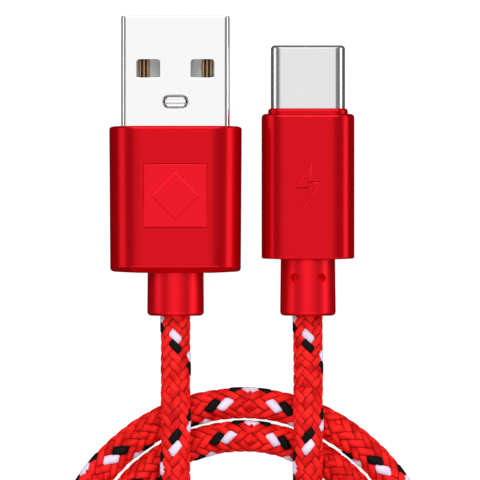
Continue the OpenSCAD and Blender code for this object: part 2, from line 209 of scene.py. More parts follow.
def moulded(name, colour, roughness, speckle=0.25, scale=9000, gloss_tint=None, mottle=0.05, ior=2.6):
    """Moulded plastic: a fine even grain, a slight change of gloss, and a coloured gloss where lacquered."""
    material = new_material(name)
    shader = shader_of(material)
    set_inputs(shader, {"Base Color": colour, "Roughness": roughness})
    if gloss_tint:
        set_inputs(shader, {"IOR": ior, "Specular IOR Level": 1, "Specular Tint": gloss_tint})
    coord = add_node(material, "TexCoord")
    noise = add_node(material, "TexNoise", Scale=scale, Detail=4)
    bump = add_node(material, "Bump", Strength=speckle, Distance=GRAIN_HEIGHT)
    link(material,
         (coord.outputs["Object"], noise.inputs["Vector"]),
         (noise.outputs["Fac"], bump.inputs["Height"]),
         (bump.outputs["Normal"], shader.inputs["Normal"]))
    uneven_gloss(material, noise, roughness, mottle)
    return material


def metal(name, colour, roughness):
    """Plated or rolled metal, with faint lengthwise drawing marks."""
    material = new_material(name)
    set_inputs(shader_of(material), {"Base Color": colour, "Metallic": 1, "Roughness": roughness})
    coord = add_node(material, "TexCoord")
    stretch = add_node(material, "Mapping", Scale=DRAWING_MARKS)
    noise = add_node(material, "TexNoise", Scale=1)
    link(material,
         (coord.outputs["Object"], stretch.inputs["Vector"]),
         (stretch.outputs["Vector"], noise.inputs["Vector"]))
    uneven_gloss(material, noise, roughness, METAL_STREAK)
    return material


def yarn(name, colour, dark, sheen, crevice_shade):
    """Braiding yarn: fibres along the float, from the float's own UV map, and painted shade: darker where the
    float tucks in.
    """
    material = new_material(name)
    shader = shader_of(material)
    set_inputs(shader, {
        "Roughness": 0.6, "Specular IOR Level": 0.12,
        "Sheen Weight": sheen, "Sheen Roughness": 0.4, "Sheen Tint": colour})
    uv = add_node(material, "UVMap")
    uv.uv_map = "yarn"
    stretch = add_node(material, "Mapping", Scale=FIBRES)
    fibres = add_node(material, "TexNoise", Scale=1, Detail=3)
    # a broad noise makes whole floats a little lighter or darker
    broad = add_node(material, "TexNoise", Scale=0.55, Detail=1)
    spread = add_node(material, "MapRange", From_Min=0.3, From_Max=0.7, To_Max=0.55)
    shade = add_node(material, "Math")
    shade.operation = "MULTIPLY_ADD"
    shade.inputs[1].default_value = 0.45
    ramp = add_node(material, "ValToRGB")
    for stop, position, tone in zip(ramp.color_ramp.elements, (0.22, 0.66), (dark, colour)):
        stop.position = position
        stop.color = (*tone, 1)
    # painted shade: the colour blends to the given crevice colour as the float's rise falls towards its
    # tucked edges
    rise = add_node(material, "Attribute")
    rise.attribute_name = "rise"
    tucked_shade = add_node(material, "MapRange", From_Max=0.45)
    blend = add_node(material, "Mix")
    blend.data_type = "RGBA"
    set_inputs(blend, {"A": crevice_shade})
    bump = add_node(material, "Bump", Strength=0.5, Distance=FIBRE_HEIGHT)
    link(material,
         (uv.outputs[0], stretch.inputs["Vector"]),
         (uv.outputs[0], broad.inputs["Vector"]),
         (stretch.outputs["Vector"], fibres.inputs["Vector"]),
         (broad.outputs["Fac"], spread.inputs["Value"]),
         (fibres.outputs["Fac"], shade.inputs[0]),
         (spread.outputs["Result"], shade.inputs[2]),
         (shade.outputs[0], ramp.inputs["Fac"]),
         (rise.outputs["Fac"], tucked_shade.inputs["Value"]),
         (tucked_shade.outputs["Result"], blend.inputs["Factor"]),
         (ramp.outputs["Color"], blend.inputs["B"]),
         (blend.outputs["Result"], shader.inputs["Base Color"]),
         (fibres.outputs["Fac"], bump.inputs["Height"]),
         (bump.outputs["Normal"], shader.inputs["Normal"]))
    return material


# ---------------------------------------------------------------- cord's route

CORD_D = 3.4
COIL_MIDDLE = (1.2, -46.6)
OUTER_TURN_R, INNER_TURN_R = 20.25, 16.55
FLAT_Z = 1.75

# The leads' routes, in millimetres, as the frame's own tubes run
LEAD_A = [
    (-6.25, -16.6, 4.1), (-6.25, -19, 4.1), (-6.25, -22, 4.5), (-6.25, -25, 5),
    (-6.25, -28, 5.2), (-6.25, -32, 5.15), (-6.25, -35, 4.5), (-6.25, -38, 3.4),
    (-6.25, -41, 2.4), (-6.25, -44.5, 1.8), (-6.25, -48.5, 1.75), (-6.2, -52.5, 1.75),
    (-5.6, -56.1, 1.75), (-3.3, -59.7, 1.75), (0.4, -62.1, 1.75), (4.1, -62.7, 1.75),
    (7.7, -61.9, 1.75)]
LEAD_C = [
    (8.45, -16.6, 3.4), (8.45, -19, 3.4), (8.45, -22, 3.9), (8.45, -25, 4.8),
    (8.45, -28, 5.2), (8.45, -32, 5.15), (8.45, -35, 4.5), (8.45, -38, 3.4),
    (8.45, -41, 2.4), (8.45, -44.5, 1.8), (8.45, -48.5, 1.8), (8.45, -52, 2.2),
    (8.3, -55, 3), (7.7, -57.4, 3.9), (6.3, -60.2, 4.8), (4.2, -62.5, 5.2),
    (1.5, -64.2, 5.25), (-1.5, -65.1, 5.25), (-4.6, -65.2, 5.2), (-7.6, -64.6, 5.2),
    (-10.5, -63.1, 5.1), (-14.2, -59.5, 4), (-17.1, -55.1, 2.4), (-18.7, -50.1, 1.75)]

# Angles round the coil, in degrees, growing from the first turn to the second
TURNS_FROM, STEP_OUT_FROM, STEP_OUT_TO, TURNS_TO = -54, 200, 260, 538
TURN_STEP = 13
FIRST_TURN_AT = 45         # distance along the cord, in millimetres, to a place on the first turn
FIRST_TURN_ANGLE = -45     # about that place's angle

LINE_STEP, SPAN_STEPS, SMOOTHING_PASSES = 0.25, 40, 24


def turn_points():
    """The two flat turns: once round the inner one, a step out below, and round the outer one."""
    points = []
    for angle in range(TURNS_FROM, TURNS_TO, TURN_STEP):
        out = min(max((angle - STEP_OUT_FROM) / (STEP_OUT_TO - STEP_OUT_FROM), 0), 1)
        radius = INNER_TURN_R + (OUTER_TURN_R - INNER_TURN_R) * out * out * (3 - 2 * out)
        a = math.radians(angle)
        x, y = COIL_MIDDLE[0] + radius * math.cos(a), COIL_MIDDLE[1] + radius * math.sin(a)
        points.append((x, y, FLAT_Z))
    return points


def distances(points):
    """The distance along a line to each of its points."""
    return np.concatenate([[0], np.cumsum(np.linalg.norm(np.diff(points, axis=0), axis=1))])


def smooth_line(points):
    """A Catmull-Rom curve through the points, at even steps."""
    p = np.array(points, float)
    p = np.vstack([2 * p[0] - p[1], p, 2 * p[-1] - p[-2]])
    knots = np.concatenate([[0], np.cumsum(np.sqrt(np.linalg.norm(np.diff(p, axis=0), axis=1)))])
    dense = []
    for i in range(1, len(p) - 2):
        t0, t1, t2, t3 = knots[i - 1:i + 3]
        for t in np.linspace(t1, t2, SPAN_STEPS, endpoint=False):
            a1 = ((t1 - t) * p[i - 1] + (t - t0) * p[i]) / (t1 - t0)
            a2 = ((t2 - t) * p[i] + (t - t1) * p[i + 1]) / (t2 - t1)
            a3 = ((t3 - t) * p[i + 1] + (t - t2) * p[i + 2]) / (t3 - t2)
            b1 = ((t2 - t) * a1 + (t - t0) * a2) / (t2 - t0)
            b2 = ((t3 - t) * a2 + (t - t1) * a3) / (t3 - t1)
            dense.append(((t2 - t) * b1 + (t - t1) * b2) / (t2 - t1))
    dense = np.array(dense + [p[-2]])
    along = distances(dense)
    steps = np.linspace(0, along[-1], int(round(along[-1] / LINE_STEP)) + 1)
    return np.column_stack([np.interp(steps, along, dense[:, k]) for k in range(3)])


class CordLine:
    """The cord's middle line, with a side and an up direction at every point of it."""

    def __init__(self, points):
        line = smooth_line(points)
        for _ in range(SMOOTHING_PASSES):
            line[2:-2] += 0.5 * ((line[1:-3] + line[3:-1]) / 2 - line[2:-2])
        self.points = line
        self.along = distances(line)
        ahead = np.gradient(line, axis=0)
        ahead /= np.linalg.norm(ahead, axis=1)[:, None]
        side = np.cross([0, 0, 1.0], ahead)
        side /= np.linalg.norm(side, axis=1)[:, None]
        self.side, self.up = side, np.cross(ahead, side)
        self.length = self.along[-1]
        # angle round the coil, growing along the turns
        away = line[:, :2] - COIL_MIDDLE
        self.turned = np.degrees(np.unwrap(np.arctan2(away[:, 1], away[:, 0])))

    def surface(self, s, theta, radius):
        """Points at distances s along the cord, angles theta round it and those radii from its middle."""
        middle, side, up = (
            np.column_stack([np.interp(s, self.along, v[:, k]) for k in range(3)])
            for v in (self.points, self.side, self.up))
        return middle + radius[:, None] * (np.cos(theta)[:, None] * side + np.sin(theta)[:, None] * up)

    def outwards(self, s, theta):
        """The direction away from the cord's middle at one place on its surface."""
        middle, outside = self.surface(np.full(2, s), np.full(2, theta), np.array([0.0, 1.0]))
        return outside - middle

    def at_angle(self, degrees):
        """Distance along the cord to that angle round the coil, on the turns."""
        start = int(np.argmax(self.along > FIRST_TURN_AT))
        turned = self.turned - 360 * round((self.turned[start] - FIRST_TURN_ANGLE) / 360)
        return float(self.along[start + np.argmax(turned[start:] >= degrees)])


# ---------------------------------------------------------------- cord's braid

RED, WHITE, BLACK, CORE = range(4)     # material slots
PITCH = 9.6            # one carrier's turn round the cord, in millimetres
CARRIERS = 8           # each way round
TILE = 8.48            # the pattern is mirrored end to end at this length
PATTERN_START = 2.35   # from a tile's start to the first white float on top
SLANT = math.atan2(math.pi * CORD_D, PITCH)
FLOAT_HALF_LENGTH = 0.95
FLOAT_HALF_WIDTH = 0.47
TRACER_HALF_WIDTH = 0.56
TRACER_PROUD = 0.06
CROWN_SPREAD = 0.02    # how much higher or lower a float may stand
LEAST_FLOAT = 0.5      # a float that a tile's end cuts to less than this, of 2, is left out
FLOAT_REACH = 1.1      # a float further than this from the tile doesn't enter it
CORE_R = 1.36
CORE_COVER = 0.06      # the core stands this far over the floats' tucked edges
CORE_STEP, CORE_SIDES = 1.2, 12
LEAD_CROWN_R, TURN_CROWN_R = 1.65, 1.73   # the braid opens and stands prouder round the turns
FLOAT_ROWS, FLOAT_COLUMNS = 7, 4
SMALLEST_FACE = 0.0002
YARN_SEED, YARN_OFFSET = 7, 40

# The pattern is unstretched at the plugs, even about the top of each turn, and has a hidden seam. Each top
# has its angle round the coil, the pattern's stretch there, and how far that stretch goes each way.
PLAIN_LENGTH = 20
HIDDEN_STRETCH = 1.07
TURN_TOPS = ((86.5, 1.07, 16), (447.2, 1.17, 19))
SEAM_ANGLE = 530

# The crown's height changes from the leads' to the turns' over the first span, and back over the second
OPENING_ANGLES = (-20, 20)
CLOSING_ANGLES = (530, 538)
CLOSING_LENGTH = 10


def float_grid():
    """One float's grid, along and across it, from -1 to 1."""
    along = np.linspace(-1, 1, FLOAT_ROWS + 1)
    across = np.linspace(-1, 1, FLOAT_COLUMNS + 1)
    u, v = np.meshgrid(along, across, indexing="ij")
    return u.ravel(), v.ravel()


def float_quads():
    """The grid's faces."""
    columns = FLOAT_COLUMNS + 1
    return np.array([
        (r * columns + c, r * columns + c + 1, (r + 1) * columns + c + 1, (r + 1) * columns + c)
        for r in range(FLOAT_ROWS) for c in range(FLOAT_COLUMNS)])


def float_height(u, v, squareness=1):
    """A float's height there, from 0 at its tucked edges to 1 at its crown."""
    return (1 - np.abs(u) ** (5 * squareness)) ** 0.6 * (1 - np.abs(v) ** (3 * squareness)) ** 0.5


class Float:
    """One float of a tile: its grid's points by their distance along the tile, their angle and their rise."""

    def __init__(self, middle, round_at, hand, slot):
        tracer = slot != RED
        half_width = TRACER_HALF_WIDTH if tracer else FLOAT_HALF_WIDTH
        grid_u, self.v = float_grid()
        # the float runs only as far as the tile's ends, where its mirror image takes over
        centre = middle + half_width * self.v * math.sin(SLANT)
        slope = FLOAT_HALF_LENGTH * math.cos(SLANT)
        first, last = np.clip(-centre / slope, -1, 1), np.clip((TILE - centre) / slope, -1, 1)
        self.enough = (last - first).max() >= LEAST_FLOAT
        self.u = first + (last - first) * (grid_u + 1) / 2
        self.along = np.clip(centre + slope * self.u, 0, TILE)
        arc = hand * (FLOAT_HALF_LENGTH * self.u * math.sin(SLANT) - half_width * self.v * math.cos(SLANT))
        self.theta = round_at + arc / (CORD_D / 2)
        self.rise = float_height(self.u, self.v, 2 if tracer else 1)
        self.proud = TRACER_PROUD if tracer else 0
        self.slot = slot


def tile_floats():
    """Every float of one tile. Of one hand's carriers, one in eight is white and the next one is black."""
    tracers = {0: WHITE, 1: BLACK}
    floats = []
    for i in range(-2 * CARRIERS, 2 * CARRIERS):
        for quarter in range(-1, 3):
            t = PATTERN_START + PITCH * (i / CARRIERS - quarter / 4)
            floats.append((t, math.pi / 2 * (1 + quarter), -1, tracers.get(i % CARRIERS, RED)))
            t = PATTERN_START + PITCH * ((3 - 2 * i) / (2 * CARRIERS) + quarter / 4)
            floats.append((t, math.pi / 2 * (1.5 + quarter), 1, RED))
    near = [Float(*f) for f in floats if -FLOAT_REACH < f[0] < TILE + FLOAT_REACH]
    return [f for f in near if f.enough]


def nearest_tile(t, step):
    return step * round(t / step)


def pattern_runs(line):
    """How the pattern is laid: for each run, pattern and cord distances, and whether it runs backwards.

    It starts at both plugs, and again at the top of each turn, and the hidden parts are stretched to meet."""
    knots = [(0, 0), (PLAIN_LENGTH, PLAIN_LENGTH)]
    for angle, stretch, reach in TURN_TOPS:
        top = line.at_angle(angle)
        t, s = knots[-1]
        origin = nearest_tile(t + (top - s) / HIDDEN_STRETCH, 2 * TILE)
        knots += [(origin - reach / stretch, top - reach), (origin + reach / stretch, top + reach)]
    seam = line.at_angle(SEAM_ANGLE)
    t, s = knots[-1]
    knots.append((nearest_tile(t + (seam - s), TILE), seam))
    back = nearest_tile(line.length - seam, TILE)
    plain_end = line.length - PLAIN_LENGTH
    return [
        (np.array(knots, float), False),
        (np.array([(0, line.length), (PLAIN_LENGTH, plain_end), (back, seam)], float), True)]


def crown_heights(line):
    """Distances along the cord, and how far from its middle the floats' crowns stand there."""
    opening = [line.at_angle(angle) for angle in OPENING_ANGLES]
    closing = [line.at_angle(angle) for angle in CLOSING_ANGLES]
    closing[1] += CLOSING_LENGTH
    return [0] + opening + closing, [LEAD_CROWN_R, LEAD_CROWN_R, TURN_CROWN_R, TURN_CROWN_R, LEAD_CROWN_R]


class Braid:
    """The mesh data of the braided cord, in millimetres."""

    def __init__(self, line):
        self.line = line
        self.verts, self.rises, self.uvs = [], [], []
        self.faces, self.slots = [], []
        self.count = 0
        self.quads = float_quads()
        self.crowns = crown_heights(line)
        self.rng = np.random.default_rng(YARN_SEED)

    def add_points(self, points, rises, uvs):
        self.verts.append(points)
        self.rises.append(rises)
        self.uvs.append(uvs)
        self.count += len(points)

    def add_float(self, piece, t, knots, reversed_run):
        """Lays one float at pattern distances t. Its faces look outwards, and collapsed ones are left out."""
        s = np.interp(t, knots[:, 0], knots[:, 1])
        theta = math.pi - piece.theta if reversed_run else piece.theta
        crown = np.interp(s, *self.crowns) + self.rng.uniform(-CROWN_SPREAD, CROWN_SPREAD) + piece.proud
        points = self.line.surface(s, theta, CORE_R + (crown - CORE_R) * piece.rise)
        a, b, c, _ = points[self.quads[len(self.quads) // 2]]
        facing = np.dot(np.cross(b - a, c - a), self.line.outwards(s.mean(), theta.mean()))
        corners = points[self.quads]
        areas = np.linalg.norm(np.cross(corners[:, 2] - corners[:, 0], corners[:, 3] - corners[:, 1]), axis=1)
        kept = self.quads[areas > SMALLEST_FACE]
        self.faces += (self.count + (kept if facing > 0 else kept[:, ::-1])).tolist()
        self.slots += [piece.slot] * len(kept)
        offset = self.rng.uniform(0, YARN_OFFSET, 2)
        uvs = np.column_stack([piece.u * FLOAT_HALF_LENGTH, piece.v * FLOAT_HALF_WIDTH])
        self.add_points(points, piece.rise, offset + uvs)

    def add_floats(self):
        """Lays every float, tile by tile, each second tile mirrored."""
        floats = tile_floats()
        for knots, reversed_run in pattern_runs(self.line):
            for tile in range(int(round(knots[-1][0] / TILE))):
                for piece in floats:
                    t = (tile + 1) * TILE - piece.along if tile % 2 else tile * TILE + piece.along
                    self.add_float(piece, t, knots, reversed_run)

    def add_core(self):
        """The dark core that closes the gaps between the floats."""
        rings, sides, first = int(self.line.length / CORE_STEP), CORE_SIDES, self.count
        s = np.repeat(np.linspace(0, self.line.length, rings + 1), sides)
        theta = np.tile(np.arange(sides) * 2 * math.pi / sides, rings + 1)
        for r in range(rings):
            for k in range(sides):
                a, b = first + r * sides + k, first + r * sides + (k + 1) % sides
                self.faces.append([a, b, b + sides, a + sides])
        far_end = first + rings * sides
        self.faces += [list(range(first, first + sides))[::-1], list(range(far_end, far_end + sides))]
        self.slots += [CORE] * (rings * sides + 2)
        points = self.line.surface(s, theta, np.full(len(s), CORE_R + CORE_COVER))
        self.add_points(points, np.zeros(len(s)), np.zeros((len(s), 2)))

    def mesh(self, name):
        """The Blender mesh, in metres, with the fibres' UV map and each point's rise."""
        mesh = bpy.data.meshes.new(name)
        mesh.from_pydata((np.vstack(self.verts) * MM).tolist(), [], self.faces)
        mesh.polygons.foreach_set("material_index", self.slots)
        mesh.polygons.foreach_set("use_smooth", [True] * len(self.faces))
        loops = np.zeros(len(mesh.loops), int)
        mesh.loops.foreach_get("vertex_index", loops)
        layer = mesh.uv_layers.new(name="yarn")
        layer.data.foreach_set("uv", np.vstack(self.uvs)[loops].ravel())
        rise = mesh.attributes.new("rise", "FLOAT", "POINT")
        rise.data.foreach_set("value", np.concatenate(self.rises))
        return mesh


def make_cord():
    """The whole cord: the lead from the USB-A plug, the two turns, and the lead to the USB-C plug."""
    line = CordLine(LEAD_A[:-1] + turn_points() + LEAD_C[::-1][1:])
    braid = Braid(line)
    braid.add_floats()
    braid.add_core()
    mesh = braid.mesh("braided_cord")
    for material in (
            # each yarn's last colour is painted shade for the crevices where its floats tuck in
            yarn("yarn_red", (1.0, 0.016, 0.013), (0.50, 0.0, 0.0), 0.06, (0.12, 0.0, 0.0)),
            yarn("yarn_white", (0.84, 0.73, 0.90), (0.68, 0.58, 0.76), 0.1, (0.45, 0.25, 0.35)),
            yarn("yarn_black", (0.002, 0.002, 0.002), (0.001, 0.001, 0.001), 0.01, (0.001, 0.0, 0.0)),
            moulded("cord_core", (0.16, 0.0, 0.0), 0.8)):
        mesh.materials.append(material)
    cord = bpy.data.objects.new("braided_cord", mesh)
    scene.collection.objects.link(cord)
    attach(cord, BODY)
    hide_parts("cord_lead_a", "cord_coil", "cord_lead_c")


make_camera()
make_cord()
make_studio()


# ---------------------------------------------------------------- plug shapes

class Plug:
    """Where a plug's middle line lies, in millimetres: its shell's middle."""

    def __init__(self, shell):
        low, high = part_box(shell)
        self.x, self.z = (low.x + high.x) / 2 / MM, (low.z + high.z) / 2 / MM

    def size(self, node):
        """A node's width, its depth below the middle line, doubled, and its back and front ends."""
        low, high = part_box(node)
        return (high.x - low.x) / MM, 2 * (self.z - low.z / MM), low.y / MM, high.y / MM


def outline(width, height, radius, steps=8, across=(), upright=()):
    """A rounded rectangle as (x, z) points, with extra points at those parts of its flats."""
    corners = ((1, 1), (-1, 1), (-1, -1), (1, -1))
    centres = [(sx * (width / 2 - radius), sz * (height / 2 - radius)) for sx, sz in corners]
    points = []
    for k, (x, z) in enumerate(centres):
        for i in range(steps + 1):
            a = math.radians(90 * (k + i / steps))
            points.append((x + radius * math.cos(a), z + radius * math.sin(a)))
        x0, z0 = points[-1]
        dx, dz = centres[(k + 1) % 4][0] - x, centres[(k + 1) % 4][1] - z
        points += [(x0 + f * dx, z0 + f * dz) for f in (across if k % 2 == 0 else upright)]
    return points


def slot_outline(width, length, steps=10):
    """A slot with round ends, a hair short of half circles, as (x, y) points."""
    return outline(width, length, length / 2 - 0.02, steps)


def station(y, width, height, radius, **kwargs):
    """One ring of a loft: its place along the plug and its outline."""
    return y, outline(width, height, radius, **kwargs)


def inside(stages, **options):
    """A hollow's rings, from its stretches: (front, back, width, height, corner radius) each."""
    return [station(y, *size, **options) for front, back, *size in stages for y in (front, back)]


def loft(rings, closed=True):
    """Vertices and faces through outlines, forward and back inside, or with end faces if it isn't closed."""
    count = len(rings[0][1])
    verts = [(x, y(x) if callable(y) else y, z) for y, points in rings for x, z in points]
    faces = []
    spans = len(rings) if closed else len(rings) - 1
    for r in range(spans):
        a, b = r * count, (r + 1) % len(rings) * count
        for k in range(count):
            n = (k + 1) % count
            faces.append((a + k, b + k, b + n, a + n))
    if not closed:
        last = (len(rings) - 1) * count
        faces += [tuple(range(count)), tuple(range(last + count - 1, last - 1, -1))]
    return verts, faces


def stack(loops):
    """A closed solid through loops of points, anticlockwise from above, the lowest or outermost first."""
    n, rows = len(loops[0]), len(loops) - 1
    faces = [tuple(range(n))[::-1], tuple(range(n * rows, n * (rows + 1)))]
    faces += [(r * n + k, r * n + (k + 1) % n, (r + 1) * n + (k + 1) % n, (r + 1) * n + k)
              for r in range(rows) for k in range(n)]
    return [point for loop in loops for point in loop], faces


def prism(points, low, high):
    """An upright prism on anticlockwise (x, y) points."""
    return stack([[(x, y, z) for x, y in points] for z in (low, high)])


def moved(points, dx, dy):
    return [(x + dx, y + dy) for x, y in points]


def rounded_edge(y_end, radius, direction, steps=5):
    """(y, inset) pairs round a quarter circle, from the side to the end face, at that end of a bar."""
    turns = [math.pi / 2 * i / steps for i in range(steps + 1)]
    return [(y_end - direction * radius * (1 - math.sin(a)), radius * (1 - math.cos(a))) for a in turns]


def bowed(y, bulge, width):
    """A ring's place that moves forward by bulge towards its sides."""
    return lambda x: y + bulge * (2 * x / width) ** 2


def joined(name, parts, materials):
    """One smooth mesh from (verts, faces) or (verts, faces, material number) parts."""
    verts, faces, slots = [], [], []
    for part_verts, part_faces, *slot in parts:
        base = len(verts)
        verts += list(part_verts)
        faces += [[base + k for k in face] for face in part_faces]
        slots += (slot or [0]) * len(part_faces)
    mesh = bpy.data.meshes.new(name)
    mesh.from_pydata(verts, [], faces)
    mesh.polygons.foreach_set("material_index", slots)
    mesh.polygons.foreach_set("use_smooth", [True] * len(faces))
    for material in materials:
        mesh.materials.append(material)
    return mesh


def cut_away(piece, verts, faces):
    """Cuts a shape out of a piece. The shape's object is returned, and stays until the cut is applied."""
    mesh = bpy.data.meshes.new(piece.name + "_cut")
    mesh.from_pydata(verts, [], faces)
    helper = bpy.data.objects.new(piece.name + "_cut", mesh)
    scene.collection.objects.link(helper)
    difference = piece.modifiers.new("cut", "BOOLEAN")
    difference.object, difference.operation, difference.solver = helper, "DIFFERENCE", "EXACT"
    return helper


def build(name, parts, plug, materials, cutters=(), bevel=0.0, bevel_angle=0.0, node=None):
    """One smooth-edged piece from its parts and cutters, which are given in the plug's own millimetres."""
    mesh = joined(name, parts, materials)
    piece = bpy.data.objects.new(name, mesh)
    scene.collection.objects.link(piece)
    helpers = [cut_away(piece, *cutter) for cutter in cutters]
    if bevel:
        rounding = piece.modifiers.new("edges", "BEVEL")
        rounding.width, rounding.segments = bevel, 2
        rounding.limit_method, rounding.angle_limit = "ANGLE", math.radians(bevel_angle)
    normals = piece.modifiers.new("normals", "WEIGHTED_NORMAL")
    normals.mode, normals.weight = "FACE_AREA", 80
    bpy.context.view_layer.update()
    depsgraph = bpy.context.evaluated_depsgraph_get()
    final = bpy.data.meshes.new_from_object(
        piece.evaluated_get(depsgraph), preserve_all_data_layers=True, depsgraph=depsgraph)
    final.transform(Matrix.Scale(MM, 4) @ Matrix.Translation((plug.x, 0, plug.z)))
    piece.modifiers.clear()
    piece.data = final
    bpy.data.meshes.remove(mesh)
    for helper in helpers:
        bpy.data.objects.remove(helper)
    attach(piece, BODY)
    if node:
        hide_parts(node)
    return piece


# ---------------------------------------------------------------- USB-A plug

BADGE_MIDDLE_Y, BADGE_HALF = -3.3, 3.5
BADGE_GAP, BADGE_PROUD, POCKET_DEPTH = 0.06, 0.12, 0.5
DIAMOND_OUTER, DIAMOND_FLOOR, DIAMOND_INNER = 2.8, 2.74, 2.44     # half sizes of its groove's edges
GROOVE_DEPTH, GROOVE_SHIFT = 0.085, 0.07
WINDOW_X, WINDOW_W, WINDOW_L, WINDOW_R = 3, 2.6, 2.3, 0.35
WINDOW_BEHIND_TIP = 5.95
SLOT_Y, SLOT_W, SLOT_L = 7.1, 2.9, 1.55
LIP_L, LIP_DEPTH = 0.26, 0.12
WALL_A = 0.3
SEAM_HALF = 0.05
CONTACT_X = (-3.5, -1, 1, 3.5)
OUTER_CONTACT_BEHIND_TIP, INNER_CONTACT_BEHIND_TIP = 1.7, 2.7
STRIP_W, STRIP_T, RIB_OFFSETS = 1.2, 0.16, (-0.43, 0, 0.43)
CORNER_STEPS = 12

# The back of the housing: distance forward, and insets at the sides and at the top and bottom
BACK_EDGE_A = (
    (0, 0.45, 0.98), (0.03, 0.29, 0.86), (0.12, 0.15, 0.74), (0.25, 0.05, 0.58), (0.45, 0, 0.34),
    (0.62, 0, 0.13), (0.72, 0, 0.04), (0.86, 0, 0), (1.2, 0, 0))
# The dish under the latch slot, from its floor up its wall and round below: depth, width and length
DISH = (
    (0.42, 2.2, 0.9), (0.38, 2.3, 0.98), (0.06, 2.84, 1.5), (0.02, 2.95, 1.6), (0.02, 3.2, 1.85),
    (0.3, 3.1, 1.8), (0.6, 2.6, 1.3))


def housing_a(plug, material):
    """The USB-A plug's moulded housing: rounded front edge, chamfered back, and the badge's pocket."""
    width, height, back, front = plug.size("usb_a_housing")
    radius, taper, bow, bow_depth = 3.5, 0.2, 0.22, 0.8
    flat = width / 2 - radius
    pocket = BADGE_HALF + BADGE_GAP
    share = (flat - pocket) / (2 * flat)
    options = dict(steps=CORNER_STEPS, across=(share, 1 - share), upright=(0.1, 0.9))

    def ring(y, inset_x, inset_z, narrower=0.0, bulge=0.0):
        w, h = width - 2 * inset_x - narrower, height - 2 * inset_z
        return bowed(y, bulge, width), outline(w, h, radius - max(inset_x, inset_z) * 0.9, **options)

    rings = [ring(back, 1.2, 1.6, taper, bow)]
    rings += [ring(back + forward, inset_x, inset_z, taper, bow * max(0, 1 - forward / bow_depth))
              for forward, inset_x, inset_z in BACK_EDGE_A]
    first_pocket = len(rings)
    pocket_ends = BADGE_MIDDLE_Y - pocket, BADGE_MIDDLE_Y + pocket
    rings += [ring(y, 0, 0, taper * (front - y) / (front - back)) for y in pocket_ends]
    rings.append(ring(front - 0.9, 0, 0))
    rings += [ring(y, 1.6 * inset, inset) for y, inset in rounded_edge(front, 0.32, 1)]
    # inside, it fits round the shell, the shield, the relief's flange and the relief's barrel
    rings += inside((
        (front, 0.6, 11.8, 4.3, 0.55), (0.55, -8.8, 12.7, 5.2, 0.85), (-8.85, -10.4, 8.5, 5.2, 1),
        (-10.45, back + 0.3, 5.5, 5.5, 2)), **options)
    verts, faces = loft(rings)
    # the top flat between the pocket's sides is one face long: open it and line the pocket
    count = len(rings[0][1])
    corner = CORNER_STEPS + 1
    a, b = first_pocket * count + corner, (first_pocket + 1) * count + corner
    top = (a, b, b + 1, a + 1)
    faces.remove(top)
    base = len(verts)
    verts += [(verts[k][0], verts[k][1], verts[k][2] - POCKET_DEPTH) for k in top]
    for k in range(4):
        n = (k + 1) % 4
        faces.append((top[k], top[n], base + n, base + k))
    faces.append((base, base + 1, base + 2, base + 3))
    return build("usb_a_housing_skin", [(verts, faces)], plug, [material], bevel=0.05, bevel_angle=60,
                 node="usb_a_housing")


def square_and_diamond(half, z, diamond, down=0.0):
    """Eight points on a square's or a diamond's edge, starting from its right."""
    points = []
    for k in range(8):
        a = math.pi / 4 * k
        x, y = abs(math.cos(a)), abs(math.sin(a))
        reach = half / (x + y if diamond else max(x, y))
        points.append((reach * math.cos(a), BADGE_MIDDLE_Y - down + reach * math.sin(a), z))
    return points


def badge(plug, material):
    """The square badge panel with its thin diamond groove."""
    top = plug.size("usb_a_housing")[1] / 2 + BADGE_PROUD
    sides = ((0.02, 0.55), (0, 0.1), (0.02, 0.04), (0.08, 0))     # inset, and depth below the top
    loops = [square_and_diamond(BADGE_HALF - inset, top - depth, False) for inset, depth in sides]
    loops += [
        square_and_diamond(DIAMOND_OUTER, top, True),
        square_and_diamond(DIAMOND_FLOOR, top - GROOVE_DEPTH, True),
        square_and_diamond(DIAMOND_INNER, top, True, GROOVE_SHIFT)]
    return build("usb_a_badge_panel", [stack(loops)], plug, [material], bevel=0.02, bevel_angle=20,
                 node="usb_a_badge")


def shell_a(plug, material):
    """The USB-A plug's folded shell: rolled lip, windows in both faces, latch slot on top, seam below."""
    width, height, back, tip = plug.size("usb_a_shell")
    radius = 0.6
    options = dict(across=(0.03, 0.5, 0.97), upright=(0.1, 0.9))
    inner = width - 2 * WALL_A, height - 2 * WALL_A, radius - WALL_A
    rings = [station(y, width, height, radius, **options) for y in (back, tip - 0.5)]
    rings += [station(y, width - 2 * inset, height - 2 * inset, radius - inset, **options)
              for y, inset in rounded_edge(tip, 0.14, 1, 4)]
    rings += [station(y, *inner, **options) for y in (tip - 0.02, back)]
    window = outline(WINDOW_W, WINDOW_L, WINDOW_R, 5)
    # each window's back edge dips in to a pressed lip
    dipped = [(x, y + LIP_L * (0.5 - y / WINDOW_L)) for x, y in window]
    levels = (dipped, -3), (dipped, height / 2 - LIP_DEPTH), (window, height / 2), (window, 3)
    cutters = [
        stack([[(px, py, z) for px, py in moved(points, x, tip - WINDOW_BEHIND_TIP)] for points, z in levels])
        for x in (-WINDOW_X, WINDOW_X)]
    cutters.append(prism(moved(slot_outline(SLOT_W, SLOT_L), 0, SLOT_Y), 1, 3))
    seam = [(-SEAM_HALF, back - 1), (SEAM_HALF, back - 1), (SEAM_HALF, tip + 1), (-SEAM_HALF, tip + 1)]
    cutters.append(prism(seam, -3, -1))
    return build("usb_a_shell_skin", [loft(rings)], plug, [material], cutters, bevel=0.07, bevel_angle=50,
                 node="usb_a_shell")


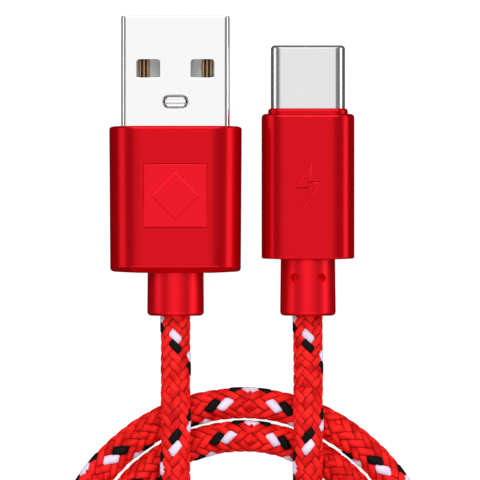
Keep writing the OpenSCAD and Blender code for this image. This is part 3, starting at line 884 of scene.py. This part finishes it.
def slot_dish(plug, material, dark):
    """The pressed dish under the shell's latch slot: a steep wall in a darker metal as painted shade, a flat
    floor and a bar across it.
    """
    top = plug.size("usb_a_shell")[1] / 2 - 0.06
    rings = [(top - depth, [(x, -y) for x, y in slot_outline(width, length)])
             for depth, width, length in DISH]
    verts, faces = loft(rings, closed=False)
    dish = [(x, SLOT_Y - z, y) for x, y, z in verts]
    count = len(rings[0][1])
    wall, rest = faces[count:3 * count], faces[:count] + faces[3 * count:]
    # the wall takes the second, darker metal: painted shade
    parts = [(dish, rest), (dish, wall, 1)]
    # the bar's flanges in the darker metal as painted shade, and its bright crown above them in the plating
    for bar_width, lift, slot in ((0.5, 0, 1), (0.24, 0.03, 0)):
        bar = [station(x, bar_width, 0.3, 0.1, steps=5) for x in (-1.15, -1.1, 1.1, 1.15)]
        bar_verts, bar_faces = loft(bar, closed=False)
        bar_verts = [(y, SLOT_Y + x, top - 0.32 + lift + z) for x, y, z in bar_verts]
        parts.append((bar_verts, [face[::-1] for face in bar_faces], slot))
    return build("usb_a_latch_dish", parts, plug, [material, dark])


def contacts_a(plug, copper, gap_shade):
    """The four flat contacts: three rounded ribs each on a near-black base, which is painted shade between
    the ribs.
    """
    low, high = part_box("usb_a_contacts")
    top, back = high.z / MM - plug.z, low.y / MM
    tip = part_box("usb_a_shell")[1].y / MM
    parts = []

    def add(rings, x, z, slot):
        verts, faces = loft(rings, closed=False)
        parts.append(([(vx + x, vy, vz + z) for vx, vy, vz in verts], faces, slot))

    for x in CONTACT_X:
        end = tip - (OUTER_CONTACT_BEHIND_TIP if abs(x) > 2 else INNER_CONTACT_BEHIND_TIP)
        # the base strip takes the second, near-black material: painted shade between the ribs
        add([station(y, STRIP_W, STRIP_T, 0.04, steps=2) for y in (back, end)], x, top - 0.2, 1)
        profile = (
            (back, 0.24, 0.2), (end - 0.25, 0.24, 0.2), (end - 0.1, 0.2, 0.16), (end - 0.05, 0.1, 0.08))
        for rib in RIB_OFFSETS:
            add([station(y, w, h, h / 2 - 0.01, steps=4) for y, w, h in profile], x + rib, top - 0.1, 0)
    return build("usb_a_contact_strips", parts, plug, [copper, gap_shade],
                 node="usb_a_contacts")


# ---------------------------------------------------------------- USB-C plug

WALL_C = 0.25
COLLAR_R = 1.5
# The rolled front edge of the shell: distance behind the tip, and inset
FRONT_EDGE_C = ((0.3, 0), (0.25, 0.02), (0.07, 0.165), (0.02, 0.21), (0, 0.235))
MARK_Y = -2.1
MARK = ((0.5, 2.7), (-1.5, -0.4), (-0.2, -0.4), (-0.5, -2.7), (1.5, 0.4), (0.2, 0.4))
# The mark's sides: inset, and height over the housing's top
MARK_SIDES = ((0, -0.06), (0, -0.01), (0.13, 0.10), (0.27, 0.14))
DIMPLE_X, DIMPLE_Y, DIMPLE_Z, DIMPLE_R = 1.45, -12.4, 2.74, 0.52
DIMPLE_LOW, DIMPLE_HIGH, DIMPLE_LEAN = -1.1, 1.2, 18


def housing_c(plug, material):
    """The USB-C plug's moulded housing, with the raised charging mark on top."""
    width, height, back, front = plug.size("usb_c_housing")
    radius, bow = 2.6, 0.15
    options = dict(steps=CORNER_STEPS, across=(0.05, 0.95), upright=(0.1, 0.9))

    def ring(y, inset, bulge=0.0):
        points = outline(width - 2 * inset, height - 2 * inset, radius - 0.9 * inset, **options)
        return bowed(y, bulge, width), points

    rings = [ring(back, 0.9, bow)]
    back_edge = rounded_edge(back, 0.3, -1)[::-1]
    rings += [ring(y, inset, bow * (1 - k / len(back_edge))) for k, (y, inset) in enumerate(back_edge)]
    rings += [ring(back + 0.8, 0), ring(front - 0.8, 0)]
    rings += [ring(y, inset) for y, inset in rounded_edge(front, 0.42, 1)]
    # inside, it fits round the collar, the shell, the shield, the relief's flange and the relief's barrel
    rings += inside((
        (front, 4.8, 8.7, 3.4, 1.4), (4.75, 1.5, 8.1, 2.2, 1.05), (1.45, -8.6, 9.3, 5, 1.05),
        (-8.65, -9.8, 8.1, 5, 1.05), (-9.85, back + 0.2, 5.4, 5.4, 2)), **options)
    mark = raised_mark(moved(MARK, 0, MARK_Y), height / 2, MARK_SIDES)
    return build("usb_c_housing_skin", [loft(rings), mark], plug, [material], bevel=0.03, bevel_angle=35,
                 node="usb_c_housing")


def raised_mark(points, top, sides):
    """A raised mark on anticlockwise (x, y) points. Its sides go in and up by the (inset, height) pairs."""
    n = len(points)
    miters = []
    for k in range(n):
        before, here, after = (Vector(points[(k + d) % n]) for d in (-1, 0, 1))
        into, out = (here - before).normalized(), (after - here).normalized()
        normals = Vector((-into.y, into.x)), Vector((-out.y, out.x))
        miters.append((normals[0] + normals[1]) / (1 + normals[0].dot(normals[1])))
    return stack([
        [(x + inset * miter.x, y + inset * miter.y, top + height) for (x, y), miter in zip(points, miters)]
        for inset, height in sides])


def collar(plug, material):
    """The thin collar in front of the USB-C housing."""
    width, height, back, front = plug.size("usb_c_collar")
    across = (0.06, 0.94)
    rings = [station(y, width, height, COLLAR_R, across=across) for y in (back, front - 0.5)]
    rings += [station(y, width - 2 * inset, height - 2 * inset, COLLAR_R - inset, across=across)
              for y, inset in rounded_edge(front, 0.3, 1)]
    rings += [station(y, 8.1, 2.2, 1, across=across) for y in (front, back)]
    return build("usb_c_collar_skin", [loft(rings)], plug, [material],
                 node="usb_c_collar")


def dimple_cutters():
    """Four round holes pointing at the cord, two on top and two underneath."""
    circle = [(DIMPLE_R * math.cos(a), DIMPLE_R * math.sin(a)) for a in np.arange(24) * math.pi / 12]
    cutters = []
    for x in (-DIMPLE_X, DIMPLE_X):
        for side in (1, -1):
            verts, faces = prism(circle, DIMPLE_LOW, DIMPLE_HIGH)
            lean = (Matrix.Translation((x * 1.03, DIMPLE_Y, side * DIMPLE_Z))
                    @ Matrix.Rotation(math.copysign(math.radians(DIMPLE_LEAN), side * x), 4, "Y"))
            if side < 0:
                lean = lean @ Matrix.Scale(-1, 4, (0, 0, 1))
                faces = [face[::-1] for face in faces]
            cutters.append(([tuple(lean @ Vector(v)) for v in verts], faces))
    return cutters


def shell_c(plug, material):
    """The USB-C plug's drawn shell, with a rolled front edge."""
    width, height, back, tip = plug.size("usb_c_shell")

    def ring(y, inset):
        w, h = width - 2 * inset, height - 2 * inset
        return station(y, w, h, h / 2 - 0.02, steps=12, across=(0.04, 0.96))

    rings = [ring(back, 0), ring(tip - 0.7, 0)]
    rings += [ring(tip - behind, inset) for behind, inset in FRONT_EDGE_C]
    rings += [ring(tip - 0.03, WALL_C), ring(back, WALL_C)]
    return build("usb_c_shell_skin", [loft(rings)], plug, [material],
                 node="usb_c_shell")


# ---------------------------------------------------------------- both plugs

BARREL_STEPS = 16
BORE_CLEARANCE = 0.02


def strain_relief(name, plug, material, diameter, flange, narrower, cutters=()):
    """A round strain relief: a flange held in the housing, a slightly tapered barrel, and a rounded end."""
    low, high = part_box(name)
    end, front = low.y / MM, high.y / MM
    flange_w, flange_h, flange_back = flange
    length = flange_back - end

    def round_ring(y, d):
        return station(y, d, d, d / 2 - 0.02, steps=14)

    def barrel(y, inset=0.0):
        return round_ring(y, diameter - 2 * inset - narrower * min(max((y - end) / length, 0), 1))

    rings = [barrel(y, inset) for y, inset in rounded_edge(end, 0.45, -1)[::-1]]
    rings += [barrel(end + length * k / BARREL_STEPS) for k in range(2, BARREL_STEPS + 1)]
    rings += [station(y, flange_w, flange_h, 1, steps=14) for y in (flange_back + 0.02, front)]
    rings += [round_ring(y, CORD_D + BORE_CLEARANCE) for y in (front, end)]
    return build(name + "_skin", [loft(rings)], plug, [material], cutters, bevel=0.03, bevel_angle=50,
                 node=name)


def dress(material, *nodes):
    """Gives CAD nodes that stay visible their material."""
    for node in nodes:
        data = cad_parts[node].data
        data.materials.clear()
        data.materials.append(material)


plug_a, plug_c = Plug("usb_a_shell"), Plug("usb_c_shell")
plating = metal("nickel_plating", (0.93, 0.93, 0.935), 0.14)
satin = metal("satin_nickel", (0.77, 0.77, 0.78), 0.18)
gold = metal("contact_gold", (0.95, 0.58, 0.32), 0.22)
steel = metal("rolled_steel", (0.6, 0.6, 0.62), 0.35)
shadowed_steel = metal("shadowed_steel", (0.52, 0.52, 0.53), 0.3)
copper = metal("contact_copper", (0.60, 0.34, 0.16), 0.25)
# painted shade: the near-black base seen between the contacts' ribs
contact_gap_shade = moulded("contact_gap_shade", (0.02, 0.004, 0.003), 0.5)
lacquer = dict(gloss_tint=(1.0, 0.018, 0.034), speckle=0.05, scale=14000, mottle=0.02)
housing_red = moulded("housing_red", (0.36, 0.0006, 0.002), 0.25, **lacquer)
# painted highlight: a lighter red than the housing's, though the same plastic, so the round barrels'
# highlights come out brighter
relief_red = moulded("relief_red", (0.50, 0.001, 0.003), 0.36, ior=3.4, **lacquer)
badge_red = moulded("badge_red", (0.56, 0.005, 0.011), 0.33, **lacquer)

housing_a(plug_a, housing_red)
badge(plug_a, badge_red)
strain_relief("usb_a_strain_relief", plug_a, relief_red, 6.3, (8.4, 5.1, -10.4), 0.1)
shell_a(plug_a, plating)
slot_dish(plug_a, plating, shadowed_steel)
contacts_a(plug_a, copper, contact_gap_shade)
housing_c(plug_c, housing_red)
collar(plug_c, housing_red)
strain_relief("usb_c_strain_relief", plug_c, relief_red, 6.2, (8, 4.9, -9.8), 0.16, dimple_cutters())
shell_c(plug_c, satin)

dress(plating, "usb_a_rear_shield", "usb_c_rear_shield")
dress(gold, "usb_c_upper_contacts", "usb_c_lower_contacts", "usb_c_contact_tails")
dress(steel, "usb_a_crimp_ring", "usb_c_crimp_ring", "usb_c_mid_plate", "usb_c_latch_left",
      "usb_c_latch_right", "usb_c_ground_springs")
dress(moulded("insulator_grey", (0.97, 0.97, 0.98), 0.5), "usb_a_insulator")
dress(moulded("insulator_black", (0.03, 0.03, 0.035), 0.5), "usb_c_insulator")
dress(moulded("inner_mould", (0.85, 0.83, 0.76), 0.5), "usb_a_inner_mould", "usb_c_inner_mould")
dress(moulded("wire_sleeve", (0.5, 0.03, 0.03), 0.4), "usb_a_wires", "usb_c_wires")
dress(moulded("card_green", (0.02, 0.22, 0.09), 0.4), "usb_c_paddle_card")
dress(moulded("resistor_black", (0.02, 0.02, 0.02), 0.5), "usb_c_resistor")
dress(moulded("cord_jacket", (0.6, 0.01, 0.01), 0.6), "usb_a_cable_end", "usb_c_cable_end")

scene.view_settings.view_transform = "Standard"
